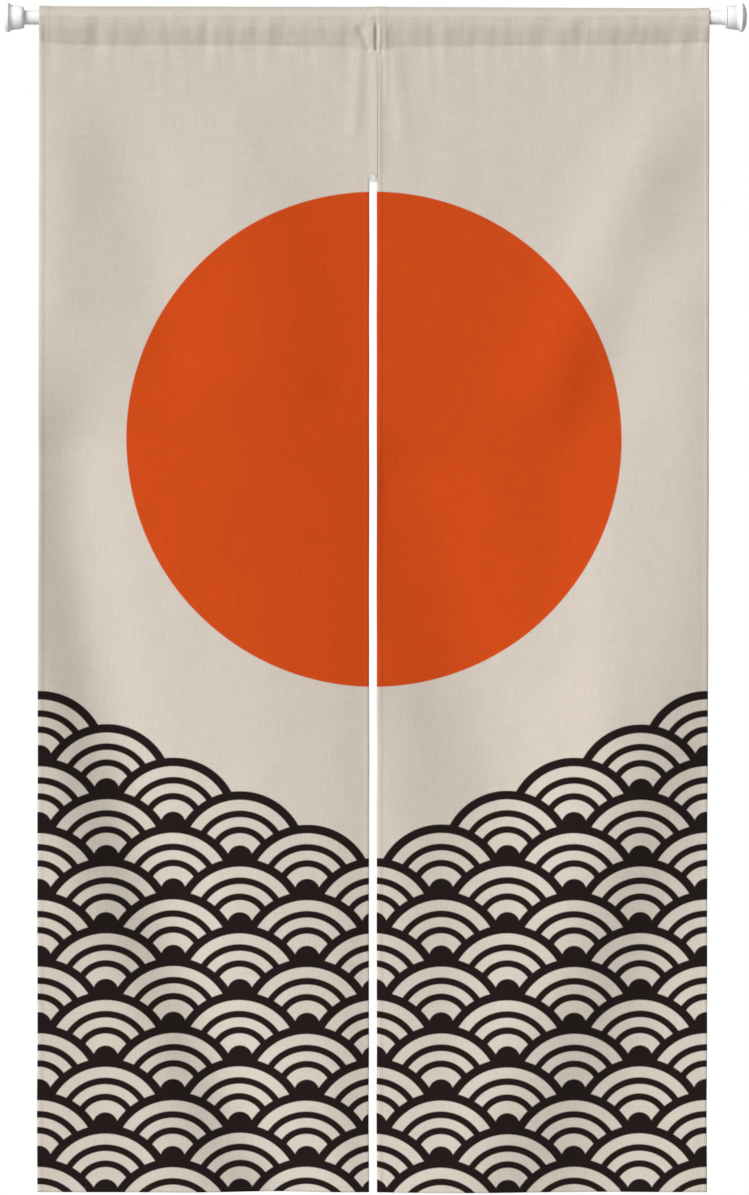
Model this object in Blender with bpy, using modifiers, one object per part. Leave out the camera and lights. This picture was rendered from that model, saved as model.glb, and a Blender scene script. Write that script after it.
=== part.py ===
# A split doorway curtain (noren) of two linen-like panels on a white tension rod.
# Metres, +Z up, +X to the right of someone facing the curtain, who looks along +Y.
# The origin is the middle of the left end cap's pad, where the rod meets the left side of the doorway.

import math
from collections import namedtuple

import bmesh
import bpy
from mathutils import Vector

# Driving dimensions
SPAN = 0.946  # from pad to pad
GAP = 0.0003  # between pieces that touch
ROUND_STEPS = 32  # sides of every turned shape

ROD_RADIUS = 0.009
CAP_LENGTH = 0.0264
BORE_DEPTH = 0.0184  # how far the rod sits in a cap
COLLAR_LENGTH = 0.0038
COLLAR_WALL = 0.0007

CLOTH_THICK = 0.0012
CREST_LEFT = 0.0142  # the pocket's pressed top edge, above the rod's middle line
CREST_MIDDLE = 0.0132
CREST_RIGHT = 0.0115
CREST_FLAT = 0.0008  # half the width of the pressed crease
ROD_EASE = 0.0001  # more room beside the rod, for the flats of both round shapes
POCKET_SEAM_Z = -0.0372  # the stitching that closes the pocket
SLIT_TOP_Z = -0.2036
HEM_Z = -1.4945
SEAM_X = 0.0026  # the join of the two panels above the slit
SLIT_WIDTH = 0.0097
RELIEF_STARTS = 0.02  # below the pocket's stitching the folds begin here
RELIEF_FULL = 0.16  # and have their full depth here

ARC_STEPS = 4  # along each side of the rod
STRAIGHT_STEPS = 3  # from the rod down to the stitching
COLUMNS = 20
ROWS_ABOVE_SLIT = 5
ROWS_BELOW_SLIT = 40

# A panel's side edges, at the top and at the bottom hem, and how far its cloth reaches above the slit
Panel = namedtuple("Panel", "outer_top outer_low inner_top inner_low tab folds")

# A fold runs down the cloth as a soft ridge (rise above 0, towards the viewer) or trough (below 0).
# bow is how far its middle lies to the right of the straight line between its ends.
Fold = namedtuple("Fold", "x_top z_top x_low z_low bow width rise")

LEFT_FOLDS = (
    Fold(-0.398, -0.560, -0.124, -1.493, -0.056, 0.040, -0.0130),
    Fold(-0.470, -0.460, -0.385, -1.120, 0.000, 0.048, 0.0090),
    Fold(-0.320, -1.160, -0.240, -1.493, 0.000, 0.040, 0.0040),
    Fold(-0.190, -0.480, -0.080, -1.340, 0.010, 0.075, 0.0095),
    Fold(-0.350, -0.070, -0.260, -0.430, 0.010, 0.034, -0.0045),
    Fold(-0.395, -0.060, -0.400, -0.340, 0.000, 0.028, 0.0030),
    Fold(-0.190, -0.120, -0.100, -0.520, 0.006, 0.044, 0.0040),
    Fold(-0.050, -0.560, -0.046, -1.493, 0.000, 0.028, 0.0022),
)
RIGHT_FOLDS = (
    Fold(0.400, -0.380, 0.112, -1.493, 0.070, 0.058, 0.0120),
    Fold(0.372, -0.110, 0.225, -0.470, 0.004, 0.036, 0.0080),
    Fold(0.040, -0.600, 0.156, -0.980, 0.000, 0.058, -0.0095),
    Fold(0.300, -0.540, 0.285, -0.880, 0.000, 0.032, 0.0040),
    Fold(0.010, -0.860, 0.030, -1.400, 0.010, 0.038, 0.0040),
    Fold(0.424, -0.960, 0.290, -1.493, -0.004, 0.048, -0.0045),
)

LEFT = Panel(-0.4268, -0.4295, SEAM_X - SLIT_WIDTH, -0.0078, SEAM_X - GAP / 2, LEFT_FOLDS)
RIGHT = Panel(0.4254, 0.4222, SEAM_X + GAP / 2, SEAM_X + GAP / 2, None, RIGHT_FOLDS)

# An end cap's outer side and bore: along is measured from the pad's face
Turn = namedtuple("Turn", "along radius")
PAD_FLAT_RADIUS = 0.007
CAP_PROFILE = (
    Turn(0.0, 0.0),
    Turn(0.0, PAD_FLAT_RADIUS),
    Turn(0.0011, 0.0120),
    Turn(0.0030, 0.0162),
    Turn(0.0054, 0.0184),
    Turn(0.0072, 0.0187),
    Turn(0.0083, 0.0179),
    Turn(0.0103, 0.0162),
    Turn(0.0125, 0.0158),
    Turn(CAP_LENGTH - 0.0010, 0.0142),
    Turn(CAP_LENGTH, 0.0137),
    Turn(CAP_LENGTH, ROD_RADIUS + GAP),
    Turn(CAP_LENGTH - BORE_DEPTH, ROD_RADIUS + GAP),
    Turn(CAP_LENGTH - BORE_DEPTH, 0.0),
)


def collection(name):
    made = bpy.data.collections.new(name)
    bpy.context.scene.collection.children.link(made)
    return made


def material(name, colour, roughness, metallic=0.0):
    made = bpy.data.materials.new(name)
    made.use_nodes = True
    shader = made.node_tree.nodes["Principled BSDF"]
    shader.inputs["Base Color"].default_value = (*colour, 1.0)
    shader.inputs["Roughness"].default_value = roughness
    shader.inputs["Metallic"].default_value = metallic
    made.diffuse_color = (*colour, 1.0)
    return made


def add_piece(name, data, finish, parts, middle):
    piece = bpy.data.objects.new(name, data)
    data.materials.append(finish)
    parts.objects.link(piece)
    piece.parent = middle
    return piece


def eased(value):
    value = min(max(value, 0.0), 1.0)
    return value * value * (3.0 - 2.0 * value)


def mixed(first, second, share):
    return first + (second - first) * share


def fold_height(fold, x, z):
    """How far one fold brings the cloth towards the viewer at a point of the panel."""
    along = (fold.z_top - z) / (fold.z_top - fold.z_low)
    inside = min(max(along, 0.0), 1.0)
    middle = mixed(fold.x_top, fold.x_low, inside) + fold.bow * 4.0 * inside * (1.0 - inside)
    past_end = max(-along, along - 1.0, 0.0) * (fold.z_top - fold.z_low)
    lean = (fold.x_low - fold.x_top) / (fold.z_top - fold.z_low)
    across = (x - middle) / math.sqrt(1.0 + lean * lean)
    away = (across * across + past_end * past_end) / (fold.width * fold.width)
    return fold.rise * math.exp(-0.5 * away)


def relief(panel, x, z):
    """The cloth's place along Y: negative is towards the viewer."""
    start = (POCKET_SEAM_Z - RELIEF_STARTS - z) / (RELIEF_FULL - RELIEF_STARTS)
    return -eased(start) * sum(fold_height(fold, x, z) for fold in panel.folds)


def crest_height(x):
    """The pocket's top edge droops a little towards the right end."""
    if x < 0.0:
        return mixed(CREST_MIDDLE, CREST_LEFT, x / LEFT.outer_top)
    return mixed(CREST_MIDDLE, CREST_RIGHT, eased(x / RIGHT.outer_top))


def pocket_side(x):
    """Half of the pocket's section, from its crest down one side of the rod to the stitching, as (y, z)."""
    radius = ROD_RADIUS + GAP + ROD_EASE + CLOTH_THICK / 2
    crest = crest_height(x)
    first = math.acos(min(radius / crest, 1.0))
    last = math.pi - math.acos(radius / -POCKET_SEAM_Z)
    points = [(CREST_FLAT, crest)]
    for step in range(ARC_STEPS + 1):
        angle = mixed(first, last, step / ARC_STEPS)
        points.append((radius * math.sin(angle), radius * math.cos(angle)))
    leaves = points[-1]
    for step in range(1, STRAIGHT_STEPS + 1):
        share = step / STRAIGHT_STEPS
        points.append((mixed(leaves[0], 0.0, share), mixed(leaves[1], POCKET_SEAM_Z, share)))
    return points


def panel_rows():
    """The heights of the rows below the pocket's stitching."""
    above = [mixed(POCKET_SEAM_Z, SLIT_TOP_Z, (row + 1) / ROWS_ABOVE_SLIT) for row in range(ROWS_ABOVE_SLIT)]
    below = [mixed(SLIT_TOP_Z, HEM_Z, (row + 1) / ROWS_BELOW_SLIT) for row in range(ROWS_BELOW_SLIT)]
    return above + below


def panel_columns(panel, z):
    """The places of the columns at one height, from the outer edge to the inner one."""
    share = (z - CREST_MIDDLE) / (HEM_Z - CREST_MIDDLE)
    outer = mixed(panel.outer_top, panel.outer_low, share)
    inner = mixed(panel.inner_top, panel.inner_low, share)
    columns = [mixed(outer, inner, column / COLUMNS) for column in range(COLUMNS + 1)]
    return columns if panel.tab is None else columns + [panel.tab]


def cloth_panel(name, panel, finish, parts, middle):
    """One sheet: up behind the rod from the stitching, over it, down in front and on to the hem."""
    rows = []
    for z in panel_rows():
        rows.append([(x, relief(panel, x, z), z) for x in panel_columns(panel, z)])
    front = [[] for _ in pocket_side(0.0)]
    back = [[] for _ in pocket_side(0.0)]
    for x in panel_columns(panel, 0.0):
        for row, (y, z) in enumerate(pocket_side(x)):
            front[row].append((x, -y, z))
            back[row].append((x, y, z))
    rows = back[::-1] + front + rows
    sheet = bmesh.new()
    bmesh.ops.create_grid(sheet, x_segments=len(rows[0]) - 1, y_segments=len(rows) - 1, size=0.5)
    across = len(rows[0])
    sheet.verts.ensure_lookup_table()
    for index, vert in enumerate(sheet.verts):
        vert.co = Vector(rows[index // across][index % across])
    if panel.tab is not None:
        beside_slit = [
            face
            for face in sheet.faces
            if face.calc_center_median().x > panel.inner_top and face.calc_center_median().z < SLIT_TOP_Z
        ]
        bmesh.ops.delete(sheet, geom=beside_slit, context="FACES")
    bmesh.ops.remove_doubles(sheet, verts=sheet.verts, dist=GAP / 10)
    data = bpy.data.meshes.new(name)
    sheet.to_mesh(data)
    sheet.free()
    piece = add_piece(name, data, finish, parts, middle)
    data.shade_smooth()
    thicken = piece.modifiers.new("Thickness", "SOLIDIFY")
    thicken.solidify_mode = "NON_MANIFOLD"
    thicken.nonmanifold_thickness_mode = "CONSTRAINTS"
    thicken.thickness = CLOTH_THICK
    thicken.offset = 0.0
    return piece


def turned(name, profile, finish, parts, middle):
    """A profile turned about its own Z axis, with its first point on top."""
    outline = bmesh.new()
    verts = [outline.verts.new((turn.radius, 0.0, -turn.along)) for turn in profile]
    for first, second in zip(verts, verts[1:]):
        outline.edges.new((first, second))
    if profile[0].radius > 0.0:
        outline.edges.new((verts[-1], verts[0]))
    data = bpy.data.meshes.new(name)
    outline.to_mesh(data)
    outline.free()
    piece = add_piece(name, data, finish, parts, middle)
    screw = piece.modifiers.new("Turn", "SCREW")
    screw.axis = "Z"
    screw.steps = ROUND_STEPS
    screw.render_steps = ROUND_STEPS
    screw.use_merge_vertices = True
    screw.merge_threshold = 0.00001
    screw.use_smooth_shade = True
    return piece


def end_caps(finish, parts, middle):
    for name, side in (("end_cap_left", -1.0), ("end_cap_right", 1.0)):
        cap = turned(name, CAP_PROFILE, finish, parts, middle)
        cap.location.x = side * SPAN / 2
        cap.rotation_euler.y = side * math.pi / 2


def rod_tube(finish, parts, middle):
    reach = SPAN / 2 - (CAP_LENGTH - BORE_DEPTH) - GAP
    line = bpy.data.curves.new("rod_tube", "CURVE")
    line.dimensions = "3D"
    line.bevel_depth = ROD_RADIUS
    line.bevel_resolution = ROUND_STEPS // 2 - 2
    line.use_fill_caps = True
    spline = line.splines.new("POLY")
    spline.points.add(1)
    spline.points[0].co = (-reach, 0.0, 0.0, 1.0)
    spline.points[1].co = (reach, 0.0, 0.0, 1.0)
    add_piece("rod_tube", line, finish, parts, middle)


def rod_collar(finish, parts, middle):
    inside = ROD_RADIUS + GAP
    outside = inside + COLLAR_WALL
    ring = (
        Turn(0.0, inside),
        Turn(0.0, outside),
        Turn(COLLAR_LENGTH, outside),
        Turn(COLLAR_LENGTH, inside),
    )
    collar = turned("rod_collar", ring, finish, parts, middle)
    collar.location.x = SPAN / 2 - CAP_LENGTH - GAP
    collar.rotation_euler.y = math.pi / 2


for old in list(bpy.data.objects):
    bpy.data.objects.remove(old)

parts = collection("noren_curtain")
middle = bpy.data.objects.new("doorway_middle", None)
middle.location.x = SPAN / 2
parts.objects.link(middle)

linen = material("printed_linen", (0.624, 0.558, 0.485), 0.85)
paint = material("white_painted_tube", (0.86, 0.86, 0.86), 0.35)
plastic = material("white_plastic", (0.84, 0.84, 0.84), 0.45)

cloth_panel("panel_left", LEFT, linen, parts, middle)
cloth_panel("panel_right", RIGHT, linen, parts, middle)
rod_tube(paint, parts, middle)
rod_collar(plastic, parts, middle)
end_caps(plastic, parts, middle)
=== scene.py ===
# A split doorway curtain (noren) on a white tension rod, seen straight on.
# Metres, +Z up, +X along the rod to the right of someone facing the curtain, who looks along +Y.

import math
from collections import namedtuple

import bpy
import numpy as np
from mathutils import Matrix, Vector, noise


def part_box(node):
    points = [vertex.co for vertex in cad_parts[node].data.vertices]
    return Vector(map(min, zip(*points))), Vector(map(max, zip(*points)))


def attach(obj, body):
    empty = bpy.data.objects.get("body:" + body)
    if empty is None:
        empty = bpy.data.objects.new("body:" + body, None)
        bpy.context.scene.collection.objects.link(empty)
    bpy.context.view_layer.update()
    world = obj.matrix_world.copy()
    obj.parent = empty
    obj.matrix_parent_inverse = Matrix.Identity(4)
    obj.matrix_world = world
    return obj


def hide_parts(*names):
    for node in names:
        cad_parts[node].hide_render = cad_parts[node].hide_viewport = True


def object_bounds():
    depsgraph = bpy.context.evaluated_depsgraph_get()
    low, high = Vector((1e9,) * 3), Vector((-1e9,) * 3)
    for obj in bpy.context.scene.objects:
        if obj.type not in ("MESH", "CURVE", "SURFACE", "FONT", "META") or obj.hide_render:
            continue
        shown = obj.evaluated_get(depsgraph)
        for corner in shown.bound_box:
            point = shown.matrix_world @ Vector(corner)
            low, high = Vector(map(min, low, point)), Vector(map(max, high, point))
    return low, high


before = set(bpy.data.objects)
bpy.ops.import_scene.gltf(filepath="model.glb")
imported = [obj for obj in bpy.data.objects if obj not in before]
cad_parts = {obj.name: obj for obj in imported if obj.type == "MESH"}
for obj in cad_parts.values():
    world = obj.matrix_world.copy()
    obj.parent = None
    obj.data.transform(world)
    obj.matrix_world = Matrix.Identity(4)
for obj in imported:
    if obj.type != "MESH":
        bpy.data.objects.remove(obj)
cad_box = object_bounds()


# Rod tube: a thin steel tube with a white powder coat, cut square and slightly rounded at its ends,
# which sit in the bores of the two end caps. It runs through the pocket of both panels.
ROD_RADIUS = 0.009
ROD_EDGE = 0.0004
POLE = 0.0002  # the small flat in the middle of a turned end
TURN_STEPS = 96
SAME_PLACE = 0.000002  # points nearer than this are merged
SMOOTH_UP_TO = math.radians(35.0)
Turn = namedtuple("Turn", "along radius")


def socket_value(tree, socket, value):
    """Give a socket a number, a colour or another node's output."""
    if isinstance(value, bpy.types.NodeSocket):
        tree.links.new(value, socket)
    else:
        socket.default_value = value


def maths(tree, operation, *values, clamp=False):
    node = tree.nodes.new("ShaderNodeMath")
    node.operation = operation
    node.use_clamp = clamp
    for socket, value in zip(node.inputs, values):
        socket_value(tree, socket, value)
    return node.outputs[0]


def noise_value(tree, vector, scale, detail=2.0, roughness=0.5):
    node = tree.nodes.new("ShaderNodeTexNoise")
    node.inputs["Scale"].default_value = scale
    node.inputs["Detail"].default_value = detail
    node.inputs["Roughness"].default_value = roughness
    tree.links.new(vector, node.inputs["Vector"])
    return node.outputs["Fac"]


def scaled_vector(tree, vector, scale):
    node = tree.nodes.new("ShaderNodeVectorMath")
    node.operation = "MULTIPLY"
    node.inputs[1].default_value = scale
    tree.links.new(vector, node.inputs[0])
    return node.outputs["Vector"]


def blended_colour(tree, share, first, second, blend_type="MIX"):
    node = tree.nodes.new("ShaderNodeMix")
    node.data_type = "RGBA"
    node.blend_type = blend_type
    for name, value in (("Factor_Float", share), ("A_Color", first), ("B_Color", second)):
        socket = next(s for s in node.inputs if s.identifier == name)
        if isinstance(value, tuple):
            value = (*value, 1.0)
        socket_value(tree, socket, value)
    return next(s for s in node.outputs if s.identifier == "Result_Color")


def group_with(name, inputs, outputs):
    """An empty node group; inputs and outputs are pairs of a socket's name and its type."""
    group = bpy.data.node_groups.new(name, "ShaderNodeTree")
    for socket, kind in inputs:
        group.interface.new_socket(socket, in_out="INPUT", socket_type=kind)
    for socket, kind in outputs:
        group.interface.new_socket(socket, in_out="OUTPUT", socket_type=kind)
    start = group.nodes.new("NodeGroupInput")
    end = group.nodes.new("NodeGroupOutput")
    return group, start.outputs, end.inputs


def placed_group(tree, group, **values):
    node = tree.nodes.new("ShaderNodeGroup")
    node.node_tree = group
    for name, value in values.items():
        socket_value(tree, node.inputs[name], value)
    return node.outputs


def finish_named(name, roughness, specular=0.5):
    """A new material, its tree, its Principled shader and a bump node that feeds its normal."""
    made = bpy.data.materials.new(name)
    made.use_nodes = True
    tree = made.node_tree
    shader = tree.nodes["Principled BSDF"]
    shader.inputs["Roughness"].default_value = roughness
    shader.inputs["Specular IOR Level"].default_value = specular
    bump = tree.nodes.new("ShaderNodeBump")
    tree.links.new(bump.outputs["Normal"], shader.inputs["Normal"])
    return made, tree, shader, bump


def moulded_skin():
    """Tone and height of a smooth white skin: soft flow marks, a fine pebble and handling dust."""
    group, given, result = group_with(
        "moulded_skin",
        (("Vector", "NodeSocketVector"), ("Pebble", "NodeSocketFloat")),
        (("Tone", "NodeSocketFloat"), ("Height", "NodeSocketFloat")),
    )
    flow = noise_value(group, given["Vector"], 90.0, 3.0)
    pebble = noise_value(group, given["Vector"], 2600.0, 2.0)
    soft = maths(group, "MULTIPLY_ADD", flow, 0.06, 0.955)
    group.links.new(maths(group, "MULTIPLY_ADD", pebble, 0.025, soft), result["Tone"])
    group.links.new(maths(group, "MULTIPLY", pebble, given["Pebble"]), result["Height"])
    return group


SKIN = moulded_skin()


def white_finish(name, colour, roughness, pebble, depth, through=0.0):
    """A white skin; through is how much light goes in and out again, as in soft plastic."""
    made, tree, shader, bump = finish_named(name, roughness)
    shader.inputs["Subsurface Weight"].default_value = through
    shader.inputs["Subsurface Radius"].default_value = (1.0, 1.0, 1.0)
    shader.inputs["Subsurface Scale"].default_value = 0.003
    place = tree.nodes.new("ShaderNodeTexCoord").outputs["Object"]
    skin = placed_group(tree, SKIN, Vector=place, Pebble=pebble)
    tone = tree.nodes.new("ShaderNodeCombineColor")
    for socket in tone.inputs:
        tree.links.new(skin["Tone"], socket)
    colour_now = blended_colour(tree, 1.0, tone.outputs["Color"], colour, "MULTIPLY")
    tree.links.new(colour_now, shader.inputs["Base Color"])
    tree.links.new(skin["Height"], bump.inputs["Height"])
    bump.inputs["Distance"].default_value = depth
    return made


def turned_on_rod(name, turns, start, facing, finish, closed_ends=True):
    """Draw a circle out along the rod from turn to turn, resizing it at each, as on a lathe."""
    bpy.ops.object.select_all(action="DESELECT")
    first = turns[0]
    bpy.ops.mesh.primitive_circle_add(
        vertices=TURN_STEPS,
        radius=first.radius,
        location=(start + facing * first.along, 0.0, 0.0),
        rotation=(0.0, math.pi / 2, 0.0),
    )
    piece = bpy.context.object
    piece.name = name
    bpy.ops.object.transform_apply(location=True, rotation=True, scale=True)
    bpy.ops.object.mode_set(mode="EDIT")
    bpy.ops.mesh.select_all(action="SELECT")
    if closed_ends:
        bpy.ops.mesh.edge_face_add()
    for before, after in zip(turns, turns[1:]):
        step = facing * (after.along - before.along)
        bpy.ops.mesh.extrude_region_move(TRANSFORM_OT_translate={"value": (step, 0.0, 0.0)})
        wider = after.radius / before.radius
        place = (start + facing * after.along, 0.0, 0.0)
        bpy.ops.transform.resize(value=(1.0, wider, wider), center_override=place)
    bpy.ops.mesh.select_all(action="SELECT")
    bpy.ops.mesh.remove_doubles(threshold=SAME_PLACE)
    bpy.ops.mesh.normals_make_consistent(inside=False)
    bpy.ops.object.mode_set(mode="OBJECT")
    bpy.ops.object.shade_smooth_by_angle(angle=SMOOTH_UP_TO)
    piece.data.materials.append(finish)
    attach(piece, "root")
    return piece


ROD_PAINT = white_finish("white_powder_coat", (0.95, 0.95, 0.955), 0.36, 0.6, 0.00004)
rod_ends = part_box("rod_tube")
rod_length = rod_ends[1].x - rod_ends[0].x
rod = turned_on_rod(
    "rod_tube_coated",
    (
        Turn(0.0, POLE),
        Turn(0.0, ROD_RADIUS - ROD_EDGE),
        Turn(ROD_EDGE, ROD_RADIUS),
        Turn(rod_length - ROD_EDGE, ROD_RADIUS),
        Turn(rod_length, ROD_RADIUS - ROD_EDGE),
        Turn(rod_length, POLE),
    ),
    rod_ends[0].x,
    1.0,
    ROD_PAINT,
)
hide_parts("rod_tube")


# Collar: a short white plastic ring beside the right end cap, on the tube. Both its rims are rounded
# and a shallow groove runs round its middle.
GAP = 0.0003  # between pieces that touch on the real one
BORE_RADIUS = ROD_RADIUS + GAP
COLLAR_ROUND = 0.0002  # of its rims, and the depth of its groove
PLASTIC = white_finish("moulded_white_plastic", (0.95, 0.95, 0.955), 0.42, 0.8, 0.00005, 0.3)
collar_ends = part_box("rod_collar")
collar_length = collar_ends[1].x - collar_ends[0].x
collar_radius = collar_ends[1].z
collar = turned_on_rod(
    "rod_collar_ring",
    (
        Turn(0.0, BORE_RADIUS),
        Turn(0.0, collar_radius - COLLAR_ROUND),
        Turn(COLLAR_ROUND, collar_radius),
        Turn(collar_length * 0.42, collar_radius),
        Turn(collar_length * 0.46, collar_radius - COLLAR_ROUND),
        Turn(collar_length * 0.54, collar_radius - COLLAR_ROUND),
        Turn(collar_length * 0.58, collar_radius),
        Turn(collar_length - COLLAR_ROUND, collar_radius),
        Turn(collar_length, collar_radius - COLLAR_ROUND),
        Turn(collar_length, BORE_RADIUS),
        Turn(0.0, BORE_RADIUS),
    ),
    collar_ends[0].x,
    1.0,
    PLASTIC,
    closed_ends=False,
)
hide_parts("rod_collar")


# End caps: each is a moulded sleeve with a flared foot, which slides over the tube, and a soft domed
# rubber pad that is pressed into the foot and bears on the side of the doorway.
SPAN = cad_box[1][0] - cad_box[0][0]  # from pad to pad
CAP_LENGTH = 0.0264
BORE_DEPTH = 0.0184
PAD_FLAT_RADIUS = 0.007
PAD_SEAT = 0.0048  # how deep the pad sits in the foot
RIM_GROOVE = 0.0008  # from the sleeve's open end
PAD_RUBBER = white_finish("soft_white_rubber", (0.94, 0.94, 0.935), 0.62, 1.0, 0.00006, 0.4)

PAD_TURNS = (
    Turn(0.0, POLE),
    Turn(0.0, PAD_FLAT_RADIUS),
    Turn(0.0004, 0.0094),
    Turn(0.0011, 0.0120),
    Turn(0.0020, 0.0144),
    Turn(0.0030, 0.0162),
    Turn(0.0040, 0.0174),
    Turn(0.0046, 0.0177),
    Turn(PAD_SEAT, 0.0172),
    Turn(PAD_SEAT, POLE),
)
SLEEVE_TURNS = (
    Turn(PAD_SEAT + 0.0002, POLE),
    Turn(PAD_SEAT + 0.0002, 0.0178),
    Turn(0.0054, 0.0184),
    Turn(0.0062, 0.0187),
    Turn(0.0072, 0.0187),
    Turn(0.0077, 0.01845),
    Turn(0.0083, 0.0179),
    Turn(0.0090, 0.0171),
    Turn(0.0096, 0.01655),
    Turn(0.0103, 0.0162),
    Turn(0.0113, 0.01598),
    Turn(0.0125, 0.0158),
    Turn(0.0128, 0.01556),
    Turn(0.0132, 0.01556),
    Turn(0.0135, 0.0157),
    Turn(CAP_LENGTH - RIM_GROOVE - 0.0013, 0.01432),
    Turn(CAP_LENGTH - RIM_GROOVE - 0.0011, 0.0120),
    Turn(CAP_LENGTH - RIM_GROOVE - 0.0002, 0.0120),
    Turn(CAP_LENGTH - RIM_GROOVE, 0.0142),
    Turn(CAP_LENGTH - 0.0003, 0.0141),
    Turn(CAP_LENGTH, 0.0137),
    Turn(CAP_LENGTH, BORE_RADIUS + 0.0003),
    Turn(CAP_LENGTH - 0.0003, BORE_RADIUS),
    Turn(CAP_LENGTH - BORE_DEPTH, BORE_RADIUS),
    Turn(CAP_LENGTH - BORE_DEPTH, POLE),
)

for side, face, facing in (("left", 0.0, 1.0), ("right", SPAN, -1.0)):
    sleeve = turned_on_rod(f"end_cap_sleeve_{side}", SLEEVE_TURNS, face, facing, PLASTIC)
    pad = turned_on_rod(f"end_cap_pad_{side}", PAD_TURNS, face, facing, PAD_RUBBER)
    for piece in (sleeve, pad):
        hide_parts(f"end_cap_{side}")


# Cloth: a slubby linen-like plain weave, printed on its face. Both panels are woven, printed and hang
# alike, so the cloth's finish comes first: the weave, the print and the face and back of the cloth.
MIDDLE = SPAN / 2  # the panels hang to both sides of this place along the rod
HEM_Z = -1.4945
THREAD_PITCH = 0.0009
LINEN = (0.630, 0.563, 0.490)
BLACK_DYE = (0.0140, 0.0085, 0.0078)
ORANGE_DYE = (0.604, 0.067, 0.0075)
FACE_DYE = 1.02  # how much of the dye shows on the face
BACK_DYE = 0.42
DISC_RADIUS = 0.315
DISC_Z = -0.537
WAVE_RADIUS = 0.085
WAVE_ROW = WAVE_RADIUS / 2
WAVE_RINGS = ((0.87, 1.1), (0.61, 0.71), (0.37, 0.47), (-1.0, 0.19))  # black from and to, in radii
WAVES_TOP = 0.38  # above the hem, the highest middle of a wave at the slit
WAVES_RISE = 0.42  # how much higher the waves stand for each metre to the side
DYE_EDGE = 0.0007


def linen_weave():
    """Tone and height of the weave on a vector in metres across and up the cloth. The tone holds
    painted shade: the threads are painted lighter where they cross over and darker between them.
    """
    group, given, result = group_with(
        "linen_weave",
        (("Metres", "NodeSocketVector"),),
        (("Tone", "NodeSocketFloat"), ("Height", "NodeSocketFloat")),
    )
    metres = given["Metres"]
    split = group.nodes.new("ShaderNodeSeparateXYZ")
    group.links.new(metres, split.inputs[0])
    drift = noise_value(group, metres, 190.0, 3.0)
    across = maths(group, "DIVIDE", split.outputs["X"], THREAD_PITCH)
    across = maths(group, "MULTIPLY_ADD", drift, 3.6, across)
    upward = maths(group, "DIVIDE", split.outputs["Y"], THREAD_PITCH)
    upward = maths(group, "MULTIPLY_ADD", drift, -3.1, upward)
    warp_round = maths(group, "SINE", maths(group, "MULTIPLY", maths(group, "FRACT", across), math.pi))
    weft_round = maths(group, "SINE", maths(group, "MULTIPLY", maths(group, "FRACT", upward), math.pi))
    crossing = maths(group, "ADD", maths(group, "FLOOR", across), maths(group, "FLOOR", upward))
    over = maths(group, "PINGPONG", crossing, 1.0)
    under = maths(group, "SUBTRACT", 1.0, over)
    warp_high = maths(group, "MULTIPLY", warp_round, maths(group, "MULTIPLY_ADD", over, 0.6, 0.4))
    weft_high = maths(group, "MULTIPLY", weft_round, maths(group, "MULTIPLY_ADD", under, 0.6, 0.4))
    woven = maths(group, "MAXIMUM", warp_high, weft_high)
    slub_up = noise_value(group, scaled_vector(group, metres, (640.0, 26.0, 1.0)), 1.0, 2.0, 0.6)
    slub_across = noise_value(group, scaled_vector(group, metres, (24.0, 600.0, 1.0)), 1.0, 2.0, 0.6)
    cloud = noise_value(group, metres, 14.0, 3.0)
    slubs = maths(group, "ADD", slub_up, slub_across)
    blotch = noise_value(group, scaled_vector(group, metres, (270.0, 110.0, 1.0)), 1.0, 2.0, 0.6)
    tone = maths(group, "MULTIPLY_ADD", slubs, 0.17, 0.736)
    tone = maths(group, "MULTIPLY_ADD", blotch, 0.07, tone)
    # painted shade of the weave: lighter on the threads where they lie on top, darker in the hollows
    # between them
    tone = maths(group, "MULTIPLY_ADD", woven, 0.04, tone)
    tone = maths(group, "MULTIPLY_ADD", cloud, 0.04, tone)
    height = maths(group, "MULTIPLY_ADD", slubs, 1.6, woven)
    group.links.new(tone, result["Tone"])
    group.links.new(height, result["Height"])
    return group


def soft_band(tree, reach, low, high):
    """1 where reach is between low and high, with the dye's soft edge at each."""
    inside = maths(tree, "SUBTRACT", high, reach)
    outside = maths(tree, "SUBTRACT", reach, low)
    nearest = maths(tree, "MINIMUM", inside, outside)
    return maths(tree, "MULTIPLY_ADD", nearest, 1.0 / (2.0 * DYE_EDGE), 0.5, clamp=True)


def distance(tree, across, up):
    squares = maths(tree, "ADD", maths(tree, "POWER", across, 2.0), maths(tree, "POWER", up, 2.0))
    return maths(tree, "SQRT", squares)


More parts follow.
